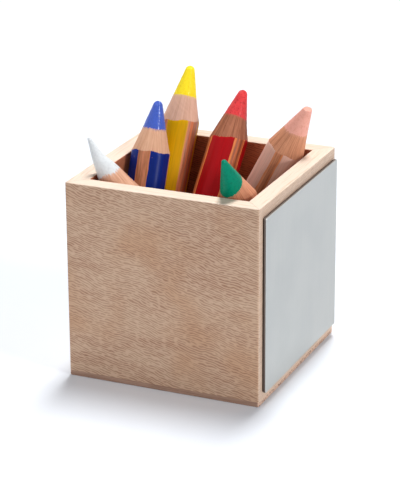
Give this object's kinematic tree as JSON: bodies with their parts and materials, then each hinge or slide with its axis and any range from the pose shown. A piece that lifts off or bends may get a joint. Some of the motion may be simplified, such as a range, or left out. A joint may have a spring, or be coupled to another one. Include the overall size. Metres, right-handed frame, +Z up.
{
  "type": "pencil box",
  "caption": "Small open-topped wooden desk box with a steel plate on one side, holding short thick coloured pencils that lift out.",
  "frame": {"origin": "middle of the underside of the bottom sheet", "axes": "+Z up, -Y is the front wall, +X is the side with the steel plate"},
  "size_m": [0.0571, 0.056, 0.0754],
  "materials": {
    "beech": "fine sanded, unlacquered beech",
    "plywood": "thin sheet with bare cut edges",
    "adhesive": "dark adhesive pad",
    "steel": "satin, fine upright brushing",
    "cedar": "pencil wood, freshly sharpened cone, lacquered in stripes on the body",
    "white_core": "waxy coloured core, blunt from use",
    "blue_core": "waxy coloured core, blunt from use",
    "yellow_core": "waxy coloured core, blunt from use",
    "red_core": "waxy coloured core, blunt from use",
    "green_core": "waxy coloured core, blunt from use",
    "skin_core": "waxy coloured core, blunt from use",
    "white_lacquer": "glossy lacquer in three stripes along the casing, over alternate edges",
    "blue_lacquer": "glossy lacquer in three stripes along the casing, over alternate edges",
    "yellow_lacquer": "glossy lacquer in three stripes along the casing, over alternate edges",
    "red_lacquer": "glossy lacquer in three stripes along the casing, over alternate edges",
    "green_lacquer": "glossy lacquer in three stripes along the casing, over alternate edges",
    "skin_lacquer": "glossy lacquer in three stripes along the casing, over alternate edges"
  },
  "bodies": {
    "box": {"front_wall": "beech", "right_wall": "beech", "back_wall": "beech", "left_wall": "beech", "bottom_sheet": "plywood", "adhesive_pad": "adhesive", "steel_plate": "steel"},
    "white_pencil": {"white_pencil_left_slat": "cedar", "white_pencil_right_slat": "cedar", "white_pencil_core": "white_core"},
    "blue_pencil": {"blue_pencil_left_slat": "cedar", "blue_pencil_right_slat": "cedar", "blue_pencil_core": "blue_core"},
    "yellow_pencil": {"yellow_pencil_left_slat": "cedar", "yellow_pencil_right_slat": "cedar", "yellow_pencil_core": "yellow_core"},
    "red_pencil": {"red_pencil_left_slat": "cedar", "red_pencil_right_slat": "cedar", "red_pencil_core": "red_core"},
    "green_pencil": {"green_pencil_left_slat": "cedar", "green_pencil_right_slat": "cedar", "green_pencil_core": "green_core"},
    "skin_pencil": {"skin_pencil_left_slat": "cedar", "skin_pencil_right_slat": "cedar", "skin_pencil_core": "skin_core"}
  },
  "joints": [
    {"name": "white_pencil_lift", "type": "slide", "parent": "box", "child": "white_pencil", "axis": [-0.2442, 0, 0.9697], "range_m": [0, 0.059]},
    {"name": "blue_pencil_lift", "type": "slide", "parent": "box", "child": "blue_pencil", "axis": [0.0049, 0.3721, 0.9282], "range_m": [0, 0.062]},
    {"name": "yellow_pencil_lift", "type": "slide", "parent": "box", "child": "yellow_pencil", "axis": [0.0368, 0.3983, 0.9165], "range_m": [0, 0.063]},
    {"name": "red_pencil_lift", "type": "slide", "parent": "box", "child": "red_pencil", "axis": [0.0946, 0.3689, 0.9246], "range_m": [0, 0.062]},
    {"name": "green_pencil_lift", "type": "slide", "parent": "box", "child": "green_pencil", "axis": [-0.0013, -0.3416, 0.9398], "range_m": [0, 0.061]},
    {"name": "skin_pencil_lift", "type": "slide", "parent": "box", "child": "skin_pencil", "axis": [0.464, 0, 0.8859], "range_m": [0, 0.065]}
  ]
}
